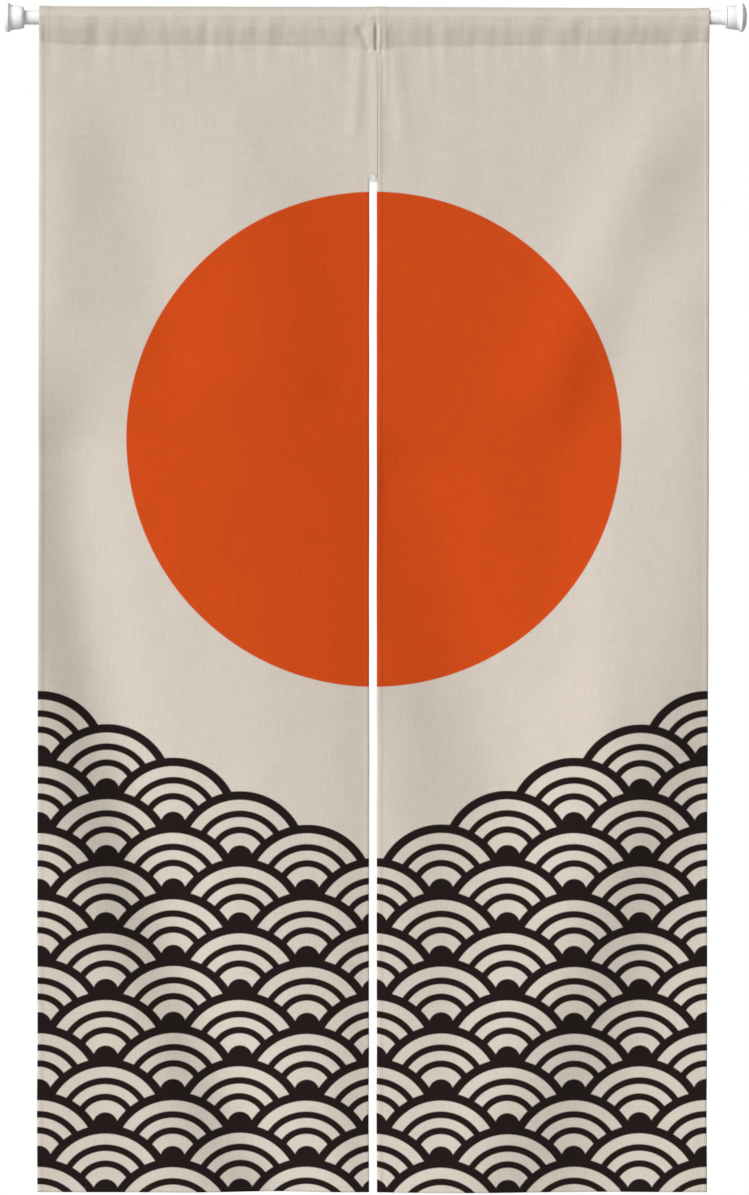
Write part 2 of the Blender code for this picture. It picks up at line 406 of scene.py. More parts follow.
def wave_and_disc_print():
    """The print: a plain orange disc across the slit and rows of black waves above the hem."""
    group, given, result = group_with(
        "wave_and_disc_print",
        (("Metres", "NodeSocketVector"),),
        (("Orange", "NodeSocketFloat"), ("Black", "NodeSocketFloat")),
    )
    split = group.nodes.new("ShaderNodeSeparateXYZ")
    group.links.new(given["Metres"], split.inputs[0])
    fray = noise_value(group, given["Metres"], 900.0, 1.0)
    x = maths(group, "SUBTRACT", split.outputs["X"], MIDDLE)
    x = maths(group, "MULTIPLY_ADD", fray, DYE_EDGE, x)
    up = maths(group, "MULTIPLY_ADD", fray, -DYE_EDGE, split.outputs["Y"])
    from_disc = distance(group, x, maths(group, "SUBTRACT", up, DISC_Z - HEM_Z))
    group.links.new(soft_band(group, from_disc, -1.0, DISC_RADIUS), result["Orange"])

    row = maths(group, "FLOOR", maths(group, "DIVIDE", up, WAVE_ROW))
    shown = None
    for offset in (1, 0, -1):
        this_row = maths(group, "ADD", row, float(offset))
        shift = maths(group, "MULTIPLY", maths(group, "FLOORED_MODULO", this_row, 2.0), WAVE_RADIUS)
        along = maths(group, "ADD", maths(group, "SUBTRACT", x, shift), WAVE_RADIUS)
        in_wave = maths(group, "FLOORED_MODULO", along, 2.0 * WAVE_RADIUS)
        from_middle = maths(group, "SUBTRACT", in_wave, WAVE_RADIUS)
        middle_up = maths(group, "MULTIPLY", this_row, WAVE_ROW)
        radius = distance(group, from_middle, maths(group, "SUBTRACT", up, middle_up))
        middle_side = maths(group, "ABSOLUTE", maths(group, "SUBTRACT", x, from_middle))
        top = maths(group, "MULTIPLY_ADD", middle_side, WAVES_RISE, WAVES_TOP)
        there = maths(group, "LESS_THAN", middle_up, top)
        black = None
        for low, high in WAVE_RINGS:
            ring = soft_band(group, radius, low * WAVE_RADIUS, high * WAVE_RADIUS)
            black = ring if black is None else maths(group, "MAXIMUM", black, ring)
        cover = maths(group, "MULTIPLY", soft_band(group, radius, -1.0, WAVE_RADIUS), there)
        black = maths(group, "MULTIPLY", black, cover)
        if shown is None:
            shown = black
        else:
            bare = maths(group, "SUBTRACT", 1.0, cover)
            shown = maths(group, "MULTIPLY_ADD", shown, bare, black)
    group.links.new(shown, result["Black"])
    return group


WEAVE = linen_weave()
PRINT = wave_and_disc_print()


def dyed(tree, ground, design, taken):
    """The colour of the ground where it has taken the print's two dyes."""
    orange = maths(tree, "MULTIPLY", design["Orange"], taken)
    black = maths(tree, "MULTIPLY", design["Black"], taken)
    return blended_colour(tree, black, blended_colour(tree, orange, ground, ORANGE_DYE), BLACK_DYE)


def linen_finish(name, dye_strength):
    """The cloth's face, or its back, where less of the dye shows."""
    made, tree, shader, bump = finish_named(name, 0.92, 0.05)
    shader.inputs["Sheen Weight"].default_value = 0.03
    shader.inputs["Sheen Roughness"].default_value = 0.6
    metres = tree.nodes.new("ShaderNodeUVMap")
    metres.uv_map = "metres"
    weave = placed_group(tree, WEAVE, Metres=metres.outputs["UV"])
    design = placed_group(tree, PRINT, Metres=metres.outputs["UV"])
    uneven = noise_value(tree, metres.outputs["UV"], 55.0, 4.0, 0.6)
    taken = maths(tree, "MULTIPLY_ADD", uneven, 0.10, dye_strength - 0.05, clamp=True)
    tone = tree.nodes.new("ShaderNodeCombineColor")
    for socket in tone.inputs:
        tree.links.new(weave["Tone"], socket)
    colour = dyed(tree, LINEN, design, taken)
    colour = blended_colour(tree, 1.0, colour, tone.outputs["Color"], "MULTIPLY")
    tree.links.new(colour, shader.inputs["Base Color"])
    tree.links.new(weave["Height"], bump.inputs["Height"])
    bump.inputs["Distance"].default_value = 0.00012
    bump.inputs["Strength"].default_value = 0.6
    return made


FACE = linen_finish("printed_linen_face", FACE_DYE)
BACK = linen_finish("printed_linen_back", BACK_DYE)


# Cloth panels: each is one length of that cloth. Its sides and foot are turned to the back as hems, and
# its top goes over the rod and is stitched down behind. The left one's inner hem opens out above the
# slit and reaches the centre seam, where its edge is sewn to the right one's.
CLOTH_THICK = 0.0005
LAYER = 0.0007  # from one layer of a hem to the next
SHEET_RADIUS = 0.0100  # of the cloth's middle, where it lies round the rod
CREST_LEFT = 0.0142  # height of the pocket's pressed top edge, which droops to the right
CREST_MIDDLE = 0.0132
CREST_RIGHT = 0.0115
CREST_FLAT = 0.0008  # half the thickness of that edge
POCKET_SEAM_Z = -0.0372
SEAM_X = 0.0026  # where the panels meet above the slit
SEAM_LAP = 0.0007  # how far the left one laps over there
LAP_RISE = 0.0120  # width over which its edge rises to lap over
LAP_LIFT = 0.58  # of a layer
SLIT_WIDTH = 0.0097
SLIT_TURN = 0.0080  # height over which the left inner hem opens out, behind the tack
TACK_TOP = -0.2008  # the bar tack across the slit's top
TACK_LOW = -0.2088
RELIEF_STARTS = 0.02  # the folds start this far below the pocket's stitching
RELIEF_FULL = 0.16  # and reach their full depth this far below it
HEM_WIDTH = 0.0080
HEM_STITCH = 0.0070
HEM_SHOWS = 0.0150  # from its fold, a hem's layers lift the face no further than this
HEM_FADE = 0.0065
HEM_PUFF = 0.00035  # how far a side hem swells between its fold and its stitching
FOOT_WIDTH = 0.0062
FOOT_STITCH = 0.0050
FOOT_PUFF = 0.0004
FLAP_END = 0.0060  # the pocket's back layer ends this far below its stitching

Panel = namedtuple("Panel", "outer_top outer_low inner_top inner_low tab folds pleats")
Fold = namedtuple("Fold", "x_top z_top x_low z_low bow width rise")

LEFT_FOLDS = (
    Fold(-0.398, -0.560, -0.124, -1.493, -0.056, 0.040, -0.0130),
    Fold(-0.470, -0.460, -0.385, -1.120, 0.000, 0.048, 0.0090),
    Fold(-0.320, -1.160, -0.240, -1.493, 0.000, 0.040, 0.0040),
    Fold(-0.190, -0.480, -0.080, -1.340, 0.010, 0.075, 0.0095),
    Fold(-0.350, -0.070, -0.260, -0.430, 0.010, 0.034, -0.0045),
    Fold(-0.395, -0.060, -0.400, -0.340, 0.000, 0.028, 0.0030),
    Fold(-0.190, -0.120, -0.100, -0.520, 0.006, 0.044, 0.0040),
    Fold(-0.050, -0.560, -0.046, -1.493, 0.000, 0.028, 0.0022),
)
RIGHT_FOLDS = (
    Fold(0.400, -0.380, 0.112, -1.493, 0.070, 0.058, 0.0120),
    Fold(0.372, -0.110, 0.225, -0.470, 0.004, 0.036, 0.0080),
    Fold(0.040, -0.600, 0.156, -0.980, 0.000, 0.058, -0.0095),
    Fold(0.300, -0.540, 0.285, -0.880, 0.000, 0.032, 0.0040),
    Fold(0.010, -0.860, 0.030, -1.400, 0.010, 0.038, 0.0040),
    Fold(0.424, -0.960, 0.290, -1.493, -0.004, 0.048, -0.0045),
)
# Small creases and gathers at the heading and the seam, too small for the solid's folds
LEFT_PLEATS = (
    Fold(-0.0205, -0.0150, -0.0078, -0.0400, 0.0, 0.0024, -0.0014),
    Fold(-0.0170, -0.0040, -0.0160, -0.0180, 0.0, 0.0045, -0.0014),
    Fold(-0.0200, 0.0120, -0.0140, -0.0060, 0.0, 0.0020, 0.0007),
    Fold(-0.0110, 0.0120, -0.0080, -0.0060, 0.0, 0.0020, 0.0006),
    Fold(0.0018, -0.0090, 0.0020, -0.0410, 0.0, 0.0015, -0.0017),
    Fold(-0.0016, -0.0080, -0.0014, -0.0400, 0.0, 0.0014, 0.0010),
    Fold(0.0156, 0.0110, 0.0152, -0.1000, 0.0, 0.0022, 0.0005),
    Fold(0.0032, -0.0560, 0.0032, -0.1960, 0.0, 0.0050, 0.0007),
    Fold(-0.3573, -0.0060, -0.3540, -0.0330, 0.0, 0.0075, -0.0009),
    Fold(-0.3007, -0.0060, -0.2990, -0.0340, 0.0, 0.0080, -0.0011),
    Fold(-0.2129, -0.0060, -0.2150, -0.0340, 0.0, 0.0065, -0.0009),
    Fold(-0.1180, -0.0060, -0.1150, -0.0340, 0.0, 0.0080, -0.0007),
    Fold(-0.0180, -0.0440, -0.0260, -0.1400, 0.0, 0.0060, 0.0010),
)
RIGHT_PLEATS = (
    Fold(0.0018, -0.0090, 0.0020, -0.0410, 0.0, 0.0015, -0.0017),
    Fold(0.0156, 0.0110, 0.0152, -0.1000, 0.0, 0.0022, 0.0005),
    Fold(0.0032, -0.0560, 0.0032, -0.1960, 0.0, 0.0050, 0.0007),
    Fold(0.0090, -0.0360, 0.0076, -0.0460, 0.0, 0.0026, -0.0007),
    Fold(0.0314, -0.0060, 0.0300, -0.0330, 0.0, 0.0060, -0.0010),
    Fold(0.0766, -0.0060, 0.0740, -0.0340, 0.0, 0.0070, -0.0008),
    Fold(0.2058, -0.0060, 0.2080, -0.0340, 0.0, 0.0070, -0.0009),
    Fold(0.2637, -0.0060, 0.2620, -0.0340, 0.0, 0.0060, -0.0008),
    Fold(0.3731, -0.0060, 0.3750, -0.0330, 0.0, 0.0070, -0.0009),
    Fold(0.0240, -0.0440, 0.0360, -0.1500, 0.0, 0.0070, 0.0010),
)

# tab is where the left panel's open hem ends above the slit
LEFT = Panel(-0.4268, -0.4295, SEAM_X - SLIT_WIDTH, -0.0078, SEAM_X + SEAM_LAP, LEFT_FOLDS, LEFT_PLEATS)
RIGHT = Panel(0.4254, 0.4222, SEAM_X + GAP / 2, SEAM_X + GAP / 2, None, RIGHT_FOLDS, RIGHT_PLEATS)

# How the cloth wanders from those folds: how far, how often in a metre across and up, and a seed
Wander = namedtuple("Wander", "depth across up seed")
SIDE_EDGES = Wander(0.0006, 1.0, 9.0, 3.0)
BROAD_WAVES = Wander(0.0013, 9.0, 4.5, 11.0)
SMALL_WAVES = Wander(0.0005, 26.0, 15.0, 16.0)
GATHERS = Wander(0.0008, 75.0, 9.0, 20.0)
FINE_GATHERS = Wander(0.0004, 140.0, 45.0, 26.0)
HEM_PUCKERS = Wander(0.0004, 5.0, 62.0, 13.0)
FOOT_PUCKERS = Wander(0.0004, 70.0, 5.0, 15.0)
POCKET_GATHERS = Wander(0.0011, 42.0, 1.0, 18.0)
FINE_POCKET_GATHERS = Wander(0.000385, 130.0, 1.0, 31.0)
GATHERS_FADE = 0.045  # length over which they fade below the pocket's stitching
FINE_GATHERS_FADE = 0.010
PUCKERS_FADE = 0.010  # width over which they fade from a side hem's fold
FOOT_FADE = 0.012  # height over which they fade from the foot's fold

# The stitching that closes the pocket runs unevenly: its height at places along the rod
Stitched = namedtuple("Stitched", "x z")
POCKET_LINE = (
    Stitched(-0.426, -0.0306),
    Stitched(-0.400, -0.0334),
    Stitched(-0.355, -0.0352),
    Stitched(-0.240, -0.0352),
    Stitched(-0.120, -0.0360),
    Stitched(-0.035, -0.0374),
    Stitched(-0.012, -0.0408),
    Stitched(0.012, -0.0408),
    Stitched(0.035, -0.0370),
    Stitched(0.160, -0.0360),
    Stitched(0.340, -0.0346),
    Stitched(0.400, -0.0330),
    Stitched(0.424, -0.0318),
)


def eased(value):
    value = np.clip(value, 0.0, 1.0)
    return value * value * (3.0 - 2.0 * value)


def mixed(first, second, share):
    return first + (second - first) * share


def fold_height(fold, x, z):
    """How far one fold brings the cloth forward: a soft ridge, or a trough, along a bowed line."""
    along = (fold.z_top - z) / (fold.z_top - fold.z_low)
    inside = np.clip(along, 0.0, 1.0)
    middle = mixed(fold.x_top, fold.x_low, inside) + fold.bow * 4.0 * inside * (1.0 - inside)
    past_end = np.maximum(np.maximum(-along, along - 1.0), 0.0) * (fold.z_top - fold.z_low)
    lean = (fold.x_low - fold.x_top) / (fold.z_top - fold.z_low)
    across = (x - middle) / math.sqrt(1.0 + lean * lean)
    away = (across * across + past_end * past_end) / (fold.width * fold.width)
    return fold.rise * np.exp(-0.5 * away)


def wandering(wander, x, z):
    """How far the cloth wanders at each place, smoothly, to both sides."""
    places = zip((x * wander.across).ravel(), (z * wander.up).ravel())
    heights = [noise.noise(Vector((u, w, wander.seed))) for u, w in places]
    return wander.depth * np.array(heights).reshape(x.shape)


def crest_height(x):
    left = mixed(CREST_MIDDLE, CREST_LEFT, x / LEFT.outer_top)
    right = mixed(CREST_MIDDLE, CREST_RIGHT, eased(x / RIGHT.outer_top))
    return np.where(x < 0.0, left, right)


def pocket_line(x):
    return np.interp(x, [place.x for place in POCKET_LINE], [place.z for place in POCKET_LINE])


def spaced(first, last, step):
    """Places from first to last, without the last, no more than step apart."""
    count = max(1, math.ceil(abs(last - first) / step))
    return [mixed(first, last, index / count) for index in range(count)]


# A column of the sheet: its share of the way from the outer fold line to the inner one, its shift from
# there across the panel, its distance from the nearest fold, how far it has turned to the back (0 face,
# 1 turned), and its shift on the flat cloth
Column = namedtuple("Column", "share shift inward turned flat")
STRIP_PLACES = (HEM_WIDTH, 0.0076, HEM_STITCH, 0.0060, 0.0048, 0.0034, 0.0018)
SEAM_STITCH = 0.0112
NEAR_FOLD = (0.0010, 0.0022, 0.0036, 0.0050, 0.0062, HEM_STITCH)
FACE_PLACES = NEAR_FOLD + (0.0078, 0.0088, 0.0100, SEAM_STITCH, 0.0126, 0.0140)
INNER_PLACES = (0.0158, 0.0176, 0.0196, 0.0216, 0.0238, 0.0262, 0.0290, 0.0325, 0.0365, 0.0410)
TURN_ANGLES = (150.0, 90.0, 30.0)
TURN_LENGTH = math.pi * LAYER / 2  # of cloth round a hem's fold
BETWEEN_COLUMNS = 98


def hem_columns(share, towards, places):
    """From the hem's raw edge at the back, round the fold and on to the face."""
    columns = []
    for place in STRIP_PLACES:
        columns.append(Column(share, towards * place, place, 1.0, -towards * (place + TURN_LENGTH)))
    for angle in TURN_ANGLES:
        turn = math.radians(angle)
        place = LAYER / 2 * (1.0 - math.sin(turn))
        behind = (1.0 - math.cos(turn)) / 2
        columns.append(Column(share, towards * place, place, behind, -towards * LAYER / 2 * turn))
    for place in places:
        columns.append(Column(share, towards * place, place, 0.0, towards * place))
    return columns


def panel_columns():
    outer = hem_columns(0.0, 1.0, FACE_PLACES)
    inner = hem_columns(1.0, -1.0, FACE_PLACES + INNER_PLACES)
    between = []
    for index in range(1, BETWEEN_COLUMNS):
        share = index / BETWEEN_COLUMNS
        shift = mixed(outer[-1].shift, inner[-1].shift, share)
        between.append(Column(share, shift, inner[-1].inward, 0.0, shift))
    return outer + between + inner[::-1]


NEAR_POCKET = (0.0008, 0.0020, 0.0038, 0.0062, 0.0092)  # below its stitching
NEAR_FOOT = (0.0110, 0.0086, 0.0068, 0.0056, FOOT_STITCH, 0.0042, 0.0028, 0.0016)  # above its fold
EVEN_FROM = 0.0125  # rows are evenly spaced from here, below the pocket's stitching
EVEN_TO = 0.0135  # to here, above the foot's fold
UPPER_STEP = 0.0046
TURN_STEP = 0.0014
LOWER_STEP = 0.0064


def body_rows():
    """Heights of the rows from just below the pocket's stitching to just above the foot's fold."""
    turn_top = TACK_LOW + SLIT_TURN + TURN_STEP
    turn_low = TACK_LOW - TURN_STEP
    rows = [POCKET_SEAM_Z - below for below in NEAR_POCKET]
    rows += spaced(POCKET_SEAM_Z - EVEN_FROM, turn_top, UPPER_STEP)
    rows += spaced(turn_top, turn_low, TURN_STEP)
    rows += spaced(turn_low, HEM_Z + EVEN_TO, LOWER_STEP)
    return rows + [HEM_Z + above for above in NEAR_FOOT]


FOOT_ANGLES = (20.0, 90.0, 160.0)
FOOT_PLACES = (0.0016, 0.0032, FOOT_STITCH, FOOT_WIDTH)
FLAP_PLACES = (FLAP_END, 0.0040, 0.0020)
ARC_STEPS = 8
STRAIGHT_STEPS = 9
BELLY = 0.0022  # how far the pocket bulges between the rod and the stitching
BELLY_FULLER = 1.3  # which makes it fuller near the rod
SEAM_SWELL = 0.0006  # how far it swells right above the stitching, which draws it in
SWELL_STARTS = 0.7  # of the way down from the rod to the stitching
CROWN_CREASES = (0.006, 0.010)  # heights between which the creases of the pocket's top set in
FRONT_CREASES = (-0.004, -0.016)  # and those of its front, down from the rod
BACK_SHIFT = 17  # columns from the gathers of the pocket's front to the same ones at its back
LINE_FADE = 0.07  # the rows follow the pocket's uneven stitching down to this far below it
FACE_LEAVES = 0.03  # and the face is drawn in to its back layer down to this far


def set_in(ends, z):
    """0 at the first end and 1 at the second, with a soft start and end."""
    return eased((z - ends[0]) / (ends[1] - ends[0]))


def pocket_side(step, radius, crest, line):
    """Place (y, z) on one side of the pocket: step 0 is its top edge, the last is the stitching."""
    first = np.arccos(np.minimum(radius / crest, 1.0))
    last = math.pi - np.arccos(np.minimum(radius / -line, 1.0))
    if step == 0:
        return np.full_like(crest, CREST_FLAT), crest
    if step <= ARC_STEPS + 1:
        angle = mixed(first, last, (step - 1) / ARC_STEPS)
        return radius * np.sin(angle), radius * np.cos(angle)
    share = (step - ARC_STEPS - 1) / STRAIGHT_STEPS
    bulge = BELLY * math.sin(math.pi * share) * (BELLY_FULLER - share)
    bulge += SEAM_SWELL * math.sin(math.pi * max(share - SWELL_STARTS, 0.0) / (1.0 - SWELL_STARTS))
    return (
        mixed(radius * np.sin(last), 0.0, share) + bulge,
        mixed(radius * np.cos(last), line, share),
    )


# places holds points row by row, from the flap's edge over the rod and down to the foot's raw edge;
# pocket_rows and foot_rows are the rows that the stitching follows on the back and on the face
Sheet = namedtuple("Sheet", "places metres pocket_rows foot_rows columns")


def cloth_places(panel):
    """Where each point of the sheet's middle hangs, row by row, and its place on the flat cloth."""
    columns = panel_columns()
    share, shift, inward, turned, flat = (np.array(values) for values in zip(*columns))
    on_inner = share == 1.0
    side = 1.0 if panel.inner_top > panel.outer_top else -1.0
    in_hem = eased((HEM_SHOWS - inward) / HEM_FADE)

    def side_places(z):
        """x of each column, its layer behind the face, the hem's layers and how far it stands out."""
        down = (z - CREST_MIDDLE) / (HEM_Z - CREST_MIDDLE)
        outer = mixed(panel.outer_top, panel.outer_low, down)
        inner = mixed(panel.inner_top, panel.inner_low, down)
        moved, behind, stands, layers = shift, turned, 0.0 * turned, in_hem
        if panel.tab is not None:
            # Above the slit this hem lies open, and its edge reaches the seam
            turn = math.pi * (1.0 - eased((z - TACK_LOW) / SLIT_TURN))
            folded = np.where(on_inner, (1.0 - np.cos(turn)) / 2, 1.0)
            opened = HEM_WIDTH + TURN_LENGTH
            reach = (panel.tab - inner) / opened
            open_shift = np.where(turned > 0.0, flat * reach * side, shift)
            moved = mixed(open_shift, shift, folded)
            behind = turned * folded
            layers = in_hem * folded
            stands = np.where(on_inner & (turned > 0.0), flat * np.sin(turn), 0.0)
            # and its edge laps over the fold of the other panel
            rise = np.clip(1.0 + (flat - opened) / LAP_RISE, 0.0, 1.0)
            behind = behind - LAP_LIFT * np.where(on_inner, rise, 0.0) * (1.0 - folded)
        x = mixed(outer, inner, share) + side * moved + wandering(SIDE_EDGES, 0.0 * z, z)
        return x, behind, layers, stands

    def creases(x, z):
        return sum(fold_height(pleat, x, z) for pleat in panel.pleats)

    def hang(x, z, layers):
        """How far the cloth lies behind the flat, below the pocket."""
        start = set_in((POCKET_SEAM_Z - RELIEF_STARTS, POCKET_SEAM_Z - RELIEF_FULL), z)
        folds = sum(fold_height(fold, x, z) for fold in panel.folds)
        relief = start * (folds + wandering(BROAD_WAVES, x, z)) + wandering(SMALL_WAVES, x, z)
        below = np.maximum(POCKET_SEAM_Z - z, 0.0)
        relief += np.exp(-below / GATHERS_FADE) * wandering(GATHERS, x, z)
        relief += np.exp(-below / FINE_GATHERS_FADE) * wandering(FINE_GATHERS, x, z)
        relief += np.exp(-inward / PUCKERS_FADE) * wandering(HEM_PUCKERS, x, z)
        relief += np.exp(-(z - HEM_Z) / FOOT_FADE) * wandering(FOOT_PUCKERS, x, z)
        relief += HEM_PUFF * np.sin(math.pi * np.clip(inward / HEM_STITCH, 0.0, 1.0)) * layers
        relief += FOOT_PUFF * np.sin(math.pi * np.clip((z - HEM_Z) / FOOT_STITCH, 0.0, 1.0))
        return -(relief + creases(x, z))

    def hanging_row(z_plain):
        """The face's layer at a height below the pocket's stitching, and its layers there."""
        z = np.full(len(columns), z_plain)
        x, behind, layers, stands = side_places(z)
        near_line = eased(1.0 - (POCKET_SEAM_Z - z) / LINE_FADE)
        z = z + (pocket_line(x) - POCKET_SEAM_Z) * near_line
        leaves = eased(1.0 - (POCKET_SEAM_Z - z_plain) / FACE_LEAVES)
        y = hang(x, z, layers) + LAYER * behind + stands - leaves * LAYER * (0.5 + layers - behind)
        return x, y, z, behind, layers

    rows, metres_up = [], []

    def add_row(x, y, z, height_on_cloth):
        rows.append(np.stack([x, y, z], axis=-1))
        metres_up.append(height_on_cloth)

    top = np.full(len(columns), 0.0)
    x, behind, layers, stands = side_places(top)
    line = pocket_line(x)
    radius = SHEET_RADIUS + LAYER * (0.75 * layers - behind)
    crest = crest_height(x) + LAYER * (0.75 * layers - behind)
    flap_layer = LAYER * (0.5 + layers - behind)
    steps = ARC_STEPS + STRAIGHT_STEPS + 1
    gathers = wandering(POCKET_GATHERS, x, top) + wandering(FINE_POCKET_GATHERS, x, top)

    def pocket_row(step, front):
        y, z = pocket_side(step, radius, crest, line)
        slack = np.sin(math.pi * np.clip((step - 2) / (steps - 2), 0.0, 1.0))
        meets = eased((step - ARC_STEPS) / (STRAIGHT_STEPS + 1.0))
        y = y + meets * flap_layer
        ripple = slack * (gathers if front else np.roll(gathers, BACK_SHIFT))
        if front:
            crown = creases(x, z) * set_in(CROWN_CREASES, z)
            return x, hang(x, z, layers) * set_in(FRONT_CREASES, z) - y - ripple - crown, z
        return x, y + ripple + hang(x, z, layers) * meets, z

    back = [pocket_row(step, False) for step in range(steps + 1)]
    front = [pocket_row(step, True) for step in range(steps + 1)]
    # heights on the flat cloth, measured up the pocket's front in the sheet's middle column
    middle_column = len(columns) // 2
    heights = [POCKET_SEAM_Z - HEM_Z]
    for lower, upper in zip(front[::-1], front[-2::-1]):
        step_y, step_z = (upper[axis][middle_column] - lower[axis][middle_column] for axis in (1, 2))
        heights.append(heights[-1] + math.hypot(step_y, step_z))
    heights.reverse()
    back_heights = [heights[0] + 2.0 * CREST_FLAT + (heights[0] - height) for height in heights]

    for place in FLAP_PLACES:
        x, y, z, behind, layers = hanging_row(POCKET_SEAM_Z - place)
        add_row(x, y + LAYER * (1.0 + 2.0 * (layers - behind)), z, back_heights[-1] + place)
    for step in range(steps, -1, -1):
        add_row(*back[step], back_heights[step])
    for step in range(steps + 1):
        add_row(*front[step], heights[step])
    pocket_rows = len(FLAP_PLACES), len(rows) - 1

    body = body_rows()
    for z_plain in body:
        x, y, z, behind, layers = hanging_row(z_plain)
        foot_lift = LAYER * (1.0 + 2.0 * layers) / 2
        add_row(x, y, z + foot_lift * eased(1.0 - (z_plain - HEM_Z) / FOOT_FADE), z_plain - HEM_Z)
    foot_face_row = len(rows) - len(body) + body.index(HEM_Z + FOOT_STITCH)

    z = np.full(len(columns), HEM_Z)
    x, behind, layers, stands = side_places(z)
    face = hang(x, z, layers) + stands
    across_fold = LAYER * (1.0 + 2.0 * layers - 2.0 * behind)
    centre_z = HEM_Z + LAYER * (1.0 + 2.0 * layers) / 2
    for angle in FOOT_ANGLES:
        turn = math.radians(angle)
        y = face + LAYER * behind + across_fold / 2 * (1.0 - math.cos(turn))
        add_row(x, y, centre_z - across_fold / 2 * math.sin(turn), -LAYER / 2 * turn)
    for place in FOOT_PLACES:
        z = centre_z + place
        y = hang(x, z, layers) + stands + LAYER * behind + across_fold
        add_row(x, y, z, -place - LAYER * math.pi / 2)
    foot_rows = len(rows) - len(FOOT_PLACES) + FOOT_PLACES.index(FOOT_STITCH), foot_face_row

    places = np.array(rows)
    metres_across = mixed(panel.outer_top, panel.inner_top, share) + side * flat + MIDDLE
    metres = np.stack(np.meshgrid(metres_across, metres_up), axis=-1)
    return Sheet(places, metres, pocket_rows, foot_rows, columns)


def cloth_panel(name, panel):
    """The sheet as a grid that is laid on its places, thickened to the cloth."""
    sheet = cloth_places(panel)
    down, across = sheet.places.shape[:2]
    bpy.ops.object.select_all(action="DESELECT")
    bpy.ops.mesh.primitive_grid_add(x_subdivisions=across - 1, y_subdivisions=down - 1, size=1.0)
    piece = bpy.context.object
    piece.name = name
    data = piece.data
    order = np.array([(vert.co.y, vert.co.x) for vert in data.vertices])
    row = down - 1 - np.rint((order[:, 0] + 0.5) * (down - 1)).astype(int)
    column = np.rint((order[:, 1] + 0.5) * (across - 1)).astype(int)
    if panel.inner_top < panel.outer_top:
        column = across - 1 - column
    world = sheet.places[row, column] + np.array((MIDDLE, 0.0, 0.0))
    data.vertices.foreach_set("co", world.ravel())
    corners = np.zeros(len(data.loops), dtype=np.int32)
    data.loops.foreach_get("vertex_index", corners)
    uv = data.uv_layers.active
    uv.name = "metres"
    uv.data.foreach_set("uv", sheet.metres[row, column][corners].ravel())
    data.update()
    bpy.ops.object.shade_smooth()
    thicken = piece.modifiers.new("Thickness", "SOLIDIFY")
    thicken.thickness = CLOTH_THICK
    thicken.offset = 0.0
    thicken.material_offset = 1
    data.materials.append(FACE)
    data.materials.append(BACK)
    bpy.ops.object.modifier_apply(modifier="Thickness")
    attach(piece, "root")
    return piece, sheet


left_cloth, left_sheet = cloth_panel("left_cloth", LEFT)
right_cloth, right_sheet = cloth_panel("right_cloth", RIGHT)
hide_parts("panel_left")
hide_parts("panel_right")


# Stitching: a thread of the linen's colour sews the pocket, the side hems, the foot and the centre
# seam, and shows on both sides. Each stitch is a bead that sinks into the cloth at its ends. A bar tack
# of dense pale stitches, from edge to edge, closes the top of the slit.
STITCH_LENGTH = 0.0031
STITCH_PITCH = 0.0036
THREAD_RADIUS = 0.00024
THREAD_TWIST = 0.0006
THREAD_DYE = 0.98  # how much of the print a thread takes on the cloth's face
TACK_RADIUS = 0.0003
TACK_PITCH = 0.00042
TACK_ENDS = (-0.0078, 0.0036)  # the ends of its stitches, on the left panel and on the right one
TACK_UNEVEN = 0.0004  # how far they are off those ends
TACK_SLANT = 0.04


def thread_finish(name, shade, light):
    """Cotton thread: two plies that show as fine slanting stripes, raised by the bump and also painted
    darker in the grooves of the twist and lighter on the plies.
    """
    made, tree, shader, bump = finish_named(name, 0.75, 0.2)
    place = tree.nodes.new("ShaderNodeTexCoord").outputs["Object"]
    split = tree.nodes.new("ShaderNodeSeparateXYZ")
    tree.links.new(place, split.inputs[0])
    slanting = maths(tree, "ADD", split.outputs["X"], split.outputs["Y"])
    slanting = maths(tree, "ADD", slanting, split.outputs["Z"])
    ply = maths(tree, "SINE", maths(tree, "MULTIPLY", slanting, 2.0 * math.pi / THREAD_TWIST))
    # painted shade of the twist: the ply's bump height also darkens the thread in its grooves and
    # lightens it on the plies
    tone = maths(tree, "MULTIPLY_ADD", ply, 0.25, noise_value(tree, place, 700.0), clamp=True)
    colour = blended_colour(tree, tone, shade, light)
    # The cloth was printed once it was sewn, so the thread on its face takes the dye too
    on_cloth = tree.nodes.new("ShaderNodeCombineXYZ")
    tree.links.new(split.outputs["X"], on_cloth.inputs["X"])
    tree.links.new(maths(tree, "SUBTRACT", split.outputs["Z"], HEM_Z), on_cloth.inputs["Y"])
    design = placed_group(tree, PRINT, Metres=on_cloth.outputs["Vector"])
    looks = tree.nodes.new("ShaderNodeSeparateXYZ")
    tree.links.new(tree.nodes.new("ShaderNodeNewGeometry").outputs["Normal"], looks.inputs[0])
    on_face = maths(tree, "LESS_THAN", looks.outputs["Y"], 0.0)
    taken = maths(tree, "MULTIPLY_ADD", on_face, THREAD_DYE - BACK_DYE, BACK_DYE)
    tree.links.new(dyed(tree, colour, design, taken), shader.inputs["Base Color"])
    tree.links.new(ply, bump.inputs["Height"])
    bump.inputs["Distance"].default_value = 0.00004
    return made


SEWING_THREAD = thread_finish("linen_coloured_thread", (0.54, 0.48, 0.42), (0.65, 0.59, 0.53))
TACK_THREAD = thread_finish("pale_cotton_thread", (0.80, 0.78, 0.75), (0.92, 0.91, 0.89))
Stitches = namedtuple("Stitches", "middles along outward length radius")


def bead_model():
    """One stitch of radius 1 along X: its points and its faces."""
    bpy.ops.object.select_all(action="DESELECT")
    bpy.ops.mesh.primitive_uv_sphere_add(segments=8, ring_count=4, rotation=(0.0, math.pi / 2, 0.0))
    model = bpy.context.object
    bpy.ops.object.transform_apply(rotation=True)
    points = np.array([tuple(vert.co) for vert in model.data.vertices])
    faces = [tuple(face.vertices) for face in model.data.polygons]
    bpy.ops.object.delete()
    return points, faces


